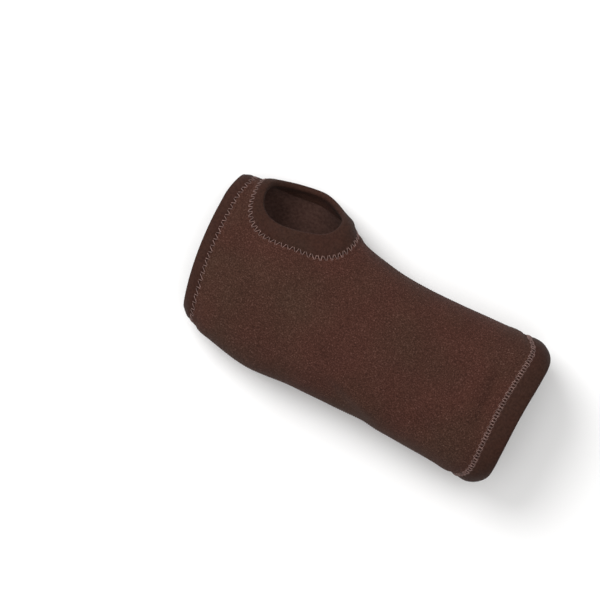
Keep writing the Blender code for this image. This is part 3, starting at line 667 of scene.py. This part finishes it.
def add_bands(material):
    bands = [
        ("finger", functools.partial(round_places, finger_line), FINGER_JOINT, 260),
        ("thumb", thumb_places, THUMB_JOINT, 240),
        ("forearm", functools.partial(round_places, forearm_line), FOREARM_JOINT, 280),
    ]
    return [
        add_band(f"{name}_band_binding", line, joint - BAND_ROOM, count, material)
        for name, line, joint, count in bands
    ]


# ---- thread


def tube(points, radius, sides=6, closed=False):
    """Points and faces of a thread along a line of points."""
    points = np.asarray(points)
    if closed:
        ahead, behind = np.roll(points, -1, 0), np.roll(points, 1, 0)
    else:
        ahead = np.concatenate([points[1:], points[-1:]])
        behind = np.concatenate([points[:1], points[:-1]])
    way = ahead - behind
    way /= np.linalg.norm(way, axis=1, keepdims=True)
    aside = (0.3, 0.5, 0.8)  # no thread here runs this way
    side = np.cross(way, aside)
    side /= np.linalg.norm(side, axis=1, keepdims=True)
    over = np.cross(side, way)
    turn = np.linspace(0, 2 * math.pi, sides, endpoint=False)[:, None]
    ring = side[:, None] * np.cos(turn) + over[:, None] * np.sin(turn)
    return lofted(points[:, None] + radius * ring, closed)


def stitched(places, count, reach, first_side, raised, closed):
    """A zigzag thread: it bridges the joint from hole to hole, and dips into the cloth at each.

    places(t, off) gives (x, s) for a share t of the row and an offset across it."""
    leg = np.tile(np.arange(LEG_STEPS) / LEG_STEPS, count)
    number = np.repeat(np.arange(count), LEG_STEPS)
    side = first_side * (1 - 2 * (number % 2))
    uneven = 1 + 0.07 * np.sin(1.7 * number) + 0.05 * np.sin(0.37 * number)
    half = reach / 2 * uneven
    at = (number + leg) / count
    x, s = places(at, side * half * (1 - 2 * leg))
    start, end = (relief(*places((number + k) / count, side * half * (1 - 2 * k))) for k in (0, 1))
    bridge = start * (1 - leg) + end * leg
    slack = 0.5 * (bridge + relief(x, s))
    arch = np.sin(math.pi * leg)
    over = slack + THREAD * ((THREAD_RISE + raised) * arch - THREAD_SINK)
    floor = SKIN.point(x, s)[..., 2] < STITCHED_FLOOR
    over = np.where(floor, np.minimum(over, -THREAD), over)
    return tube(SKIN.at_depth(x, s, -over), THREAD, closed=closed)


def add_thread(name, places, length, size, material, closed, replaced, lattice=False):
    """A row of stitching: one zigzag thread, or two that cross in every stitch."""
    pitch, reach = size
    count = 2 * round(length / pitch)
    points, faces = stitched(places, count, reach, 1, 0.0, closed)
    if lattice:
        second, more = stitched(places, count, reach, -1, CROSSING_RISE, closed)
        faces = faces + [tuple(i + len(points) for i in face) for face in more]
        points = np.concatenate([points, second])
    piece = add_mesh(name, points, faces)
    finish_piece(piece, material, "thread", "root", replaced)
    return piece


def end_row(line, joint):
    """A row round one end of the sleeve, along the band's joint."""
    return lambda t, off: round_places(line, joint + off, t)


def thumb_row(t, off):
    turn = 2 * math.pi * t
    return hole_line(turn, thumb_joint(turn) + off)


def side_row(start, end, line):
    """A row along the sleeve, on the thumb side's line (s = 0) or the little finger's."""
    def places(t, off):
        x = start + (end - start) * t
        return x, line(x) + off
    return places


def add_stitching(thread, dark_thread):
    """The three bands' rows, then the rows along the web, radial and ulnar seams."""
    around = float(SKIN.girth(0.0))
    ulnar = functools.partial(SKIN.ulnar_line, side=1)
    far = ulnar(0.0)

    def finger_end(s):
        return float(finger_line(np.array(s), FINGER_JOINT + SEAM_ROOM))

    def forearm_end(s):
        return float(forearm_line(np.array(s), FOREARM_JOINT + SEAM_ROOM))

    def beside_thumb(towards_fingers):
        angle = hole_angle_at(0.0, SEAM_ROOM, towards_fingers)
        return hole_line(angle, thumb_joint(angle) + SEAM_ROOM)[0]

    bands = [
        ("finger", end_row(finger_line, FINGER_JOINT), FINGER_ROW_SHARE * around, STITCH),
        ("forearm", end_row(forearm_line, FOREARM_JOINT), around, LATTICE),
        ("thumb", thumb_row, THUMB_ROW, STITCH),
    ]
    seams = [
        ("web", finger_end(0.0), beside_thumb(True), np.zeros_like),
        ("radial", beside_thumb(False), forearm_end(0.0), np.zeros_like),
        ("ulnar", finger_end(far), forearm_end(far), ulnar),
    ]
    made = [
        add_thread(f"{name}_zigzag", row, length, size, thread, True, f"{name}_stitching",
                   lattice=size is LATTICE)
        for name, row, length, size in bands
    ]
    made += [
        add_thread(f"{name}_zigzag", side_row(start, end, line), end - start, SEAM, dark_thread,
                   False, f"{name}_seam")
        for name, start, end, line in seams
    ]
    return made


# ---- pockets


class PalmarTrack:
    """The arc that the palmar stay lies and slides on: along it, across it and down from it."""

    def point(self, along, across, depth):
        angle = np.asarray(along, float) / PALMAR_RADIUS
        reach = PALMAR_RADIUS - depth
        x = X_FOREARM - reach * np.sin(angle)
        z = FOREARM_HEIGHT - PALMAR_RADIUS + reach * np.cos(angle)
        return np.stack(np.broadcast_arrays(x, STAY_LINE + across, z), -1)

    def lining_depth(self, along, across):
        x, y, z = np.moveaxis(self.point(along, across, 0.0), -1, 0)
        radial, ulnar = side_lines(x)
        top = palm_height(x)
        side = SIDE_SHARE * top
        share = np.abs(2 * y - radial - ulnar) / (radial - ulnar)
        skin = side + (top - side) * (1 - share**PALM_SQUARENESS) ** (1 / PALM_SQUARENESS)
        return z - skin + LAYERS


class DorsalTrack:
    """The straight line of a dorsal stay: along it, across it and up from the floor."""

    def __init__(self, middle):
        self.middle = middle

    def point(self, along, across, depth):
        x = X_FOREARM - np.asarray(along, float)
        return np.stack(np.broadcast_arrays(x, self.middle + across, depth), -1)

    def lining_depth(self, along, across):
        x, y, _ = np.moveaxis(self.point(along, across, 0.0), -1, 0)
        radial, ulnar = side_lines(x)
        half = (radial - ulnar) / 2
        flat = FLAT_SHARE * half
        off = np.clip((np.abs(y - (radial + ulnar) / 2) - flat) / (half - flat), 0, 1)
        rise = 1 - (1 - off**DORSAL_SQUARENESS) ** (1 / DORSAL_SQUARENESS)
        return LAYERS + SIDE_SHARE * palm_height(x) * rise


def add_pocket(name, track, half_width, span, far_depth, up, cloth, thread):
    """A pocket: cloth that is flat at its sewn edges and rises over the stay."""
    start, end = span[0] + POCKET_MOUTH, span[1] + TIP_GROWTH + POCKET_END
    inner = half_width + TIP_GROWTH + STAY_CLEARANCE
    web = far_depth + TIP_GROWTH + STAY_CLEARANCE
    widest = inner + POCKET_SLOPE + POCKET_LIP
    along = np.linspace(start, end, POCKET_ROWS)
    lip = np.linspace(widest, inner + 1.15 * POCKET_SLOPE, 6)
    slope = np.linspace(inner + POCKET_SLOPE, inner, 9)
    over = np.linspace(0.98 * inner, 0, 10)
    half = np.concatenate([lip, slope, over])
    across = np.concatenate([-half, half[-2::-1]])
    a, c = np.meshgrid(along, across, indexing="ij")
    side = np.clip((inner + POCKET_SLOPE - np.abs(c)) / POCKET_SLOPE, 0, 1)
    closed = np.clip((end - POCKET_END * POCKET_SHUT - a) / (POCKET_END * POCKET_SHUT_FADE), 0, 1)
    raised = np.minimum(side, closed)
    raised = raised * raised * (3 - 2 * raised)
    seat = track.lining_depth(a, c) + POCKET_SEAT
    wave = POCKET_WAVE * np.abs(ripple(a, c, 0.016, 17)) * raised
    depth = seat * (1 - raised) + np.maximum(web, seat) * raised + wave
    near = track.point(a, c, depth).reshape(-1, 3)
    far = track.point(a, c, depth + POCKET_CLOTH).reshape(-1, 3)
    faces = grid_faces(*a.shape)
    if not up:
        faces = [face[::-1] for face in faces]
    points, solid = closed_sheet(near, far, faces)
    places = np.stack([a.ravel(), c.ravel()], 1)
    piece = add_mesh(name, points, solid, np.concatenate([places, places]))
    finish_piece(piece, cloth, "lining", "root", name.replace("_cloth", ""))

    # A line of lock stitches down both sides and across the closed end.
    sewn = widest - POCKET_LIP * LOCK_IN
    first, last = start + LOCK_START, end - POCKET_END * LOCK_END_IN
    path = [(x, -sewn) for x in np.arange(first, last, LOCK_STEP)]
    path += [(last, y) for y in np.arange(-sewn, sewn, LOCK_STEP)]
    path += [(x, sewn) for x in np.arange(last, first, -LOCK_STEP)]
    x, y = np.array(path).T
    bob = LOCK_RISE * np.abs(np.sin(np.arange(len(x)) * LOCK_STEP / LOCK_STITCH * math.pi))
    on_lip = track.lining_depth(x, y) + POCKET_SEAT + POCKET_CLOTH
    points, faces = tube(track.point(x, y, on_lip + bob - LOCK_SINK), THREAD)
    row = add_mesh(f"{name}_stitches", points, faces)
    finish_piece(row, thread, "thread", "root")


def add_pockets(cloth, thread):
    add_pocket("palmar_stay_pocket_cloth", PalmarTrack(), PALMAR_STAY_PALM_HALF_WIDTH,
               PALMAR_STAY_SPAN, PALMAR_STAY_DEPTH[1], True, cloth, thread)
    for name, track in dorsal_tracks():
        add_pocket(f"{name}_pocket_cloth", track, DORSAL_STAY_HALF_WIDTH, DORSAL_STAY_SPAN,
                   DORSAL_STAY_DEPTH[1], False, cloth, thread)


def dorsal_tracks():
    for side, name in ((1, "radial"), (-1, "ulnar")):
        yield f"dorsal_stay_{name}", DorsalTrack(STAY_LINE + side * DORSAL_STAY_SPACING / 2)


# ---- stays and their tips


def palmar_half_width(along):
    share = (along - PALMAR_STAY_SPAN[0]) / (PALMAR_STAY_SPAN[1] - PALMAR_STAY_SPAN[0])
    spread = np.clip((share - PALMAR_STAY_SPREAD_FROM) / PALMAR_STAY_SPREAD, 0, 1)
    return PALMAR_STAY_HALF_WIDTH + (PALMAR_STAY_PALM_HALF_WIDTH - PALMAR_STAY_HALF_WIDTH) * spread


def dorsal_half_width(along):
    return DORSAL_STAY_HALF_WIDTH + 0 * along


def strip_rings(track, half_width, span, depths, grow, limits):
    """Rings of a strip with rounded corners and edges, grown by grow, between two stations."""
    start, end = span
    corner = min(STRIP_CORNER, 0.8 * float(half_width(np.array(start))))
    turn = np.linspace(0.12, math.pi / 2, STRIP_CORNER_STEPS)
    low = start + corner - (corner + grow) * np.cos(turn)
    high = end - corner + (corner + grow) * np.cos(turn[::-1])
    along = np.concatenate([low, np.linspace(low[-1], high[0], STRIP_STEPS)[1:-1], high])
    less = (corner + grow) * (1 - np.sin(turn))
    widths = half_width(along) + grow
    widths[:STRIP_CORNER_STEPS] -= less
    widths[-STRIP_CORNER_STEPS:] -= less[::-1]
    inside = (along > limits[0]) & (along < limits[1])
    cuts = [limit for limit in limits if along[0] < limit < along[-1]]
    at = np.sort(np.concatenate([along[inside], cuts]))
    widths = np.interp(at, along, widths)
    middle = (depths[0] + depths[1]) / 2
    half_depth = (depths[1] - depths[0]) / 2 + grow
    edge = STRIP_EDGE_SHARE * half_depth
    round_corner = np.linspace(0, math.pi / 2, 5)
    rings = []
    for a, width in zip(at, widths):
        quarter = [(width - edge + edge * math.cos(r), half_depth - edge + edge * math.sin(r))
                   for r in round_corner]
        over = quarter + [(-u, v) for u, v in quarter[::-1]]
        section = np.array(over + [(-u, -v) for u, v in over])
        rings.append(track.point(a, section[:, 0], middle + section[:, 1]))
    return rings


def add_stay(name, track, half_width, span, depths, finish, plastic, slot):
    """A metal strip and the two hollow tips dipped over its ends."""
    everything = (span[0] - BEYOND, span[1] + BEYOND)
    points, faces = lofted(strip_rings(track, half_width, span, depths, 0, everything))
    stay = add_mesh(f"{name}_strip", points, faces, sharp=35)
    finish_piece(stay, finish, slot, name, name)
    ends = [
        ("forearm", (span[0] - BEYOND, span[0] + TIP_LENGTH)),
        ("finger", (span[1] - TIP_LENGTH, span[1] + BEYOND)),
    ]
    for end, limits in ends:
        outer = strip_rings(track, half_width, span, depths, TIP_GROWTH, limits)
        hollow = strip_rings(track, half_width, span, depths, TIP_GAP, limits)
        if end == "finger":
            outer, hollow = outer[::-1], hollow[::-1]
        points, faces = lofted(outer + hollow[::-1])
        tip = add_mesh(f"{name}_{end}_tip_dip", points, faces, sharp=50)
        finish_piece(tip, plastic, "tip", name, f"{name}_{end}_tip")


def add_stays():
    aluminium = rolled_metal("rolled_aluminium", (0.34, 0.34, 0.352), 2200)
    steel = rolled_metal("spring_steel", (0.26, 0.26, 0.270), 2600)
    plastic = dipped_plastic()
    add_stay("palmar_stay", PalmarTrack(), palmar_half_width, PALMAR_STAY_SPAN,
             PALMAR_STAY_DEPTH, aluminium, plastic, "palmar_stay")
    for name, track in dorsal_tracks():
        add_stay(name, track, dorsal_half_width, DORSAL_STAY_SPAN, DORSAL_STAY_DEPTH, steel,
                 plastic, "dorsal_stay")


# ---- materials


class Nodes:
    """A short way to wire a procedural material."""

    def __init__(self, name):
        self.material = bpy.data.materials.new(name)
        self.material.use_nodes = True
        self.tree = self.material.node_tree
        self.shader = self.tree.nodes["Principled BSDF"]

    def add(self, kind, **settings):
        node = self.tree.nodes.new(f"ShaderNode{kind}")
        for key, value in settings.items():
            setattr(node, key, value)
        return node

    def link(self, out, into):
        self.tree.links.new(out, into)

    def noise(self, vector, scale, detail=2.0, roughness=0.5):
        node = self.add("TexNoise")
        node.inputs["Scale"].default_value = scale
        node.inputs["Detail"].default_value = detail
        node.inputs["Roughness"].default_value = roughness
        self.link(vector, node.inputs["Vector"])
        return node.outputs["Fac"]

    def math(self, operation, a, b=None):
        node = self.add("Math", operation=operation)
        for i, value in enumerate((a, b)):
            if value is None:
                continue
            if isinstance(value, (int, float)):
                node.inputs[i].default_value = value
            else:
                self.link(value, node.inputs[i])
        return node.outputs[0]

    def ramp(self, value, stops):
        """Colours along a value: each stop is a place and three numbers."""
        node = self.add("ValToRGB")
        elements = node.color_ramp.elements
        for element, (position, colour) in ((elements[0], stops[0]), (elements[1], stops[-1])):
            element.position, element.color = position, (*colour, 1)
        for position, colour in stops[1:-1]:
            elements.new(position).color = (*colour, 1)
        self.link(value, node.inputs["Fac"])
        return node.outputs["Color"]

    def greys(self, vector, scale, detail, low, high):
        """Noise between two greys: low and high are each a place on the ramp and a value."""
        stops = [(place, grey(value)) for place, value in (low, high)]
        return self.ramp(self.noise(vector, scale, detail), stops)

    def mix(self, share, a, b, blend="MIX"):
        node = self.add("Mix", data_type="RGBA", blend_type=blend)
        for socket, value in ((node.inputs[0], share), (node.inputs[6], a), (node.inputs[7], b)):
            if isinstance(value, (int, float)):
                socket.default_value = value
            else:
                self.link(value, socket)
        return node.outputs[2]

    def object_place(self):
        return self.add("TexCoord").outputs["Object"]

    def cloth_place(self):
        return self.add("Attribute", attribute_name="cloth").outputs["Vector"]

    def bump(self, height, distance, strength=1.0):
        node = self.add("Bump")
        node.inputs["Distance"].default_value = distance
        node.inputs["Strength"].default_value = strength
        self.link(height, node.inputs["Height"])
        self.link(node.outputs["Normal"], self.shader.inputs["Normal"])

    def colour(self, out):
        self.link(out, self.shader.inputs["Base Color"])

    def roughness(self, out):
        self.link(out, self.shader.inputs["Roughness"])

    def set(self, **values):
        for key, value in values.items():
            self.shader.inputs[key.replace("_", " ")].default_value = value


def grey(value):
    return (value, value, value)


def knit_height(nodes, wale, course):
    """Height of a jersey knit: rows of small V-shaped loops, wale wide and course tall."""
    split = nodes.add("SeparateXYZ")
    nodes.link(nodes.cloth_place(), split.inputs[0])
    along, across = split.outputs[0], split.outputs[1]
    column = nodes.math("DIVIDE", across, wale)
    lean = nodes.math("PINGPONG", column, 0.5)
    row = nodes.math("ADD", nodes.math("DIVIDE", along, course), lean)
    loops = nodes.math("SINE", nodes.math("MULTIPLY", row, 2 * math.pi))
    ridges = nodes.math("SINE", nodes.math("MULTIPLY", column, 2 * math.pi))
    loops = nodes.math("MULTIPLY", loops, 0.5)
    return nodes.math("ADD", loops, nodes.math("MULTIPLY", nodes.math("ABSOLUTE", ridges), 0.6))


def fuzz(nodes, knit, place, share):
    """The knit's height with the hairs of its yarn on it."""
    hairs = nodes.noise(place, 2600, 3.0, 0.7)
    return nodes.math("ADD", knit, nodes.math("MULTIPLY", hairs, share))


def cover_knit():
    """Brushed brown jersey in heather yarn: dark ground, paler specks, slow red and olive drift."""
    n = Nodes("cover_knit")
    place = n.object_place()
    specks = n.noise(place, 1400, 3.0, 0.72)
    ground = n.ramp(specks, [
        (0.34, (0.0270, 0.0106, 0.0074)),
        (0.50, (0.0455, 0.0190, 0.0132)),
        (0.60, (0.0620, 0.0276, 0.0204)),
        (0.71, (0.1200, 0.0650, 0.0535)),
    ])
    drift = n.ramp(n.noise(place, 26), [(0.35, (1.10, 0.94, 0.93)), (0.65, (0.93, 1.06, 0.97))])
    tinted = n.mix(0.75, ground, drift, "MULTIPLY")
    worn = n.greys(place, 60, 3.0, (0.30, 0.93), (0.70, 1.08))
    n.colour(n.mix(1.0, tinted, worn, "MULTIPLY"))
    n.roughness(n.ramp(specks, [(0.3, grey(0.86)), (0.7, grey(0.98))]))
    n.bump(fuzz(n, knit_height(n, 0.00085, 0.00070), place, 1.3), 0.00014, 0.55)
    n.set(Sheen_Weight=0.015, Sheen_Roughness=0.6, Specular_IOR_Level=0.08)
    return n.material


def band_knit():
    """Smooth stretch binding, closer knitted and darker than the cover."""
    n = Nodes("band_knit")
    place = n.object_place()
    tone = n.ramp(n.noise(place, 900, 2.0, 0.6), [
        (0.35, (0.0255, 0.0102, 0.0069)),
        (0.65, (0.0385, 0.0163, 0.0112)),
    ])
    drift = n.ramp(n.noise(place, 45), [(0.3, (1.06, 0.95, 0.94)), (0.7, (0.94, 1.03, 0.98))])
    n.colour(n.mix(0.8, tone, drift, "MULTIPLY"))
    n.roughness(n.greys(place, 300, 2.0, (0.3, 0.74), (0.7, 0.88)))
    n.bump(fuzz(n, knit_height(n, 0.00060, 0.00045), place, 0.5), 0.00008, 0.45)
    n.set(Sheen_Weight=0.01, Sheen_Roughness=0.5, Specular_IOR_Level=0.10)
    return n.material


def lining_jersey():
    """Thin jersey against the skin, a little paler, with slow creases."""
    n = Nodes("lining_jersey")
    place = n.object_place()
    tone = n.ramp(n.noise(place, 700, 2.0), [
        (0.30, (0.040, 0.0190, 0.0145)),
        (0.70, (0.066, 0.0335, 0.0265)),
    ])
    rubbed = n.greys(place, 38, 3.0, (0.35, 0.90), (0.68, 1.15))
    n.colour(n.mix(1.0, tone, rubbed, "MULTIPLY"))
    n.roughness(n.greys(place, 240, 2.0, (0.3, 0.80), (0.7, 0.94)))
    creases = n.math("MULTIPLY", n.noise(place, 120), 3.0)
    n.bump(n.math("ADD", knit_height(n, 0.00070, 0.00055), creases), 0.00010, 0.6)
    n.set(Sheen_Weight=0.015, Sheen_Roughness=0.5, Specular_IOR_Level=0.1)
    return n.material


def twisted_thread(name, colour, dark):
    """Two-ply sewing thread: fine twist, slight gloss and uneven dye."""
    n = Nodes(name)
    place = n.object_place()
    dye = n.math("ADD", n.math("MULTIPLY", n.noise(place, 620, 1.0), 0.7),
                 n.math("MULTIPLY", n.noise(place, 2400, 2.0), 0.3))
    n.colour(n.ramp(dye, [(0.38, dark), (0.64, colour)]))
    twist = n.add("TexWave", wave_type="BANDS", bands_direction="DIAGONAL")
    twist.inputs["Scale"].default_value = 900
    twist.inputs["Distortion"].default_value = 1.5
    n.link(place, twist.inputs["Vector"])
    n.bump(twist.outputs["Fac"], 0.00005, 0.7)
    n.roughness(n.greys(place, 900, 2.0, (0.3, 0.48), (0.7, 0.66)))
    n.set(Sheen_Weight=0.1, Specular_IOR_Level=0.35)
    return n.material


def rolled_metal(name, colour, grain):
    """Rolled strip: fine lines along its length, faint handling marks and dulled patches."""
    n = Nodes(name)
    place = n.object_place()
    stretch = n.add("Mapping")
    stretch.inputs["Scale"].default_value = (0.04, 1.0, 1.0)
    n.link(place, stretch.inputs["Vector"])
    lines = n.noise(stretch.outputs["Vector"], grain, 4.0, 0.65)
    marks = n.noise(place, 95, 4.0, 0.6)
    bright = [1.12 * c for c in colour]
    dull = [0.80 * c for c in colour]
    tone = n.ramp(lines, [(0.3, dull), (0.7, bright)])
    n.colour(n.mix(0.35, tone, n.ramp(marks, [(0.40, grey(0.72)), (0.62, grey(1.0))]), "MULTIPLY"))
    both = n.math("ADD", n.math("MULTIPLY", lines, 0.5), n.math("MULTIPLY", marks, 0.5))
    n.roughness(n.ramp(both, [(0.35, grey(0.42)), (0.65, grey(0.64))]))
    n.bump(lines, 0.00002, 0.5)
    n.set(Metallic=1.0)
    return n.material


def dipped_plastic():
    """Soft black dip: satin, with slow sags and dust."""
    n = Nodes("dipped_plastic")
    place = n.object_place()
    n.colour(n.greys(place, 500, 3.0, (0.35, 0.018), (0.75, 0.045)))
    n.roughness(n.greys(place, 260, 3.0, (0.3, 0.32), (0.7, 0.52)))
    n.bump(n.noise(place, 160), 0.00008, 0.5)
    n.set(Specular_IOR_Level=0.5, Coat_Weight=0.1)
    return n.material


def paper_floor():
    """Plain pale paper, barely uneven."""
    n = Nodes("floor_paper")
    place = n.object_place()
    n.colour(n.greys(place, 9, 2.0, (0.3, 0.90), (0.7, 0.92)))
    n.set(Roughness=0.95, Specular_IOR_Level=0.1)
    return n.material


# ---- floor, light and camera


def add_floor():
    size = 3.0
    corners = [(-size, -size, 0), (size, -size, 0), (size, size, 0), (-size, size, 0)]
    floor = add_mesh("floor", corners, [(0, 1, 2, 3)])
    floor.location.z = -0.0002  # just under the cloth, so the two never share a plane
    floor.data.materials.append(paper_floor())


def add_light(name, place, target, size, power):
    data = bpy.data.lights.new(name, "AREA")
    data.shape = "DISK"
    data.size = size
    data.energy = power
    made = new_object(name, data)
    made.location = place
    made.rotation_euler = (made.location - target).to_track_quat("Z", "Y").to_euler()


def add_studio():
    middle = Vector((0, 0, 0.03))
    add_light("key", Vector((-1.00, 0.40, 1.25)), middle, 1.0, 19)
    add_light("top", Vector((0.10, 0.0, 1.9)), middle, 1.6, 14)
    world = bpy.data.worlds.new("studio")
    world.use_nodes = True
    background = world.node_tree.nodes["Background"]
    background.inputs["Color"].default_value = (1.0, 0.99, 0.98, 1)
    background.inputs["Strength"].default_value = 0.52
    bpy.context.scene.world = world
    bpy.context.scene.view_settings.view_transform = "Standard"


def add_camera():
    """Straight above the palm, turned so that the forearm points down to the right."""
    turn = math.radians(28.5)
    view_centre = (-0.0337, -0.0061)
    view_width = 0.303  # at the height of the palm
    palm = 0.045
    distance = 1.5
    data = bpy.data.cameras.new("camera")
    data.sensor_width = 36
    data.lens = data.sensor_width * distance / view_width
    data.clip_start, data.clip_end = 0.05, 20
    camera = new_object("camera", data)
    camera.location = (*view_centre, palm + distance)
    camera.rotation_euler = (0, 0, turn)
    bpy.context.scene.camera = camera


def main():
    add_camera()
    cover, band, lining = cover_knit(), band_knit(), lining_jersey()
    thread = twisted_thread("mauve_thread", (0.205, 0.118, 0.102), (0.074, 0.039, 0.032))
    dark_thread = twisted_thread("brown_thread", (0.072, 0.036, 0.029), (0.040, 0.019, 0.015))

    add_panel("palmar_lining_cloth", 1, (LINING_TOP, LAYERS), lining, "lining")
    add_panel("dorsal_lining_cloth", -1, (LINING_TOP, LAYERS), lining, "lining")
    edging = add_bands(band) + add_stitching(thread, dark_thread)
    add_panel("palmar_cover_cloth", 1, (0, COVER), cover, "cover")
    add_panel("dorsal_cover_cloth", -1, (0, COVER), cover, "cover")
    add_pockets(lining, dark_thread)
    add_stays()
    add_floor()
    add_studio()


main()
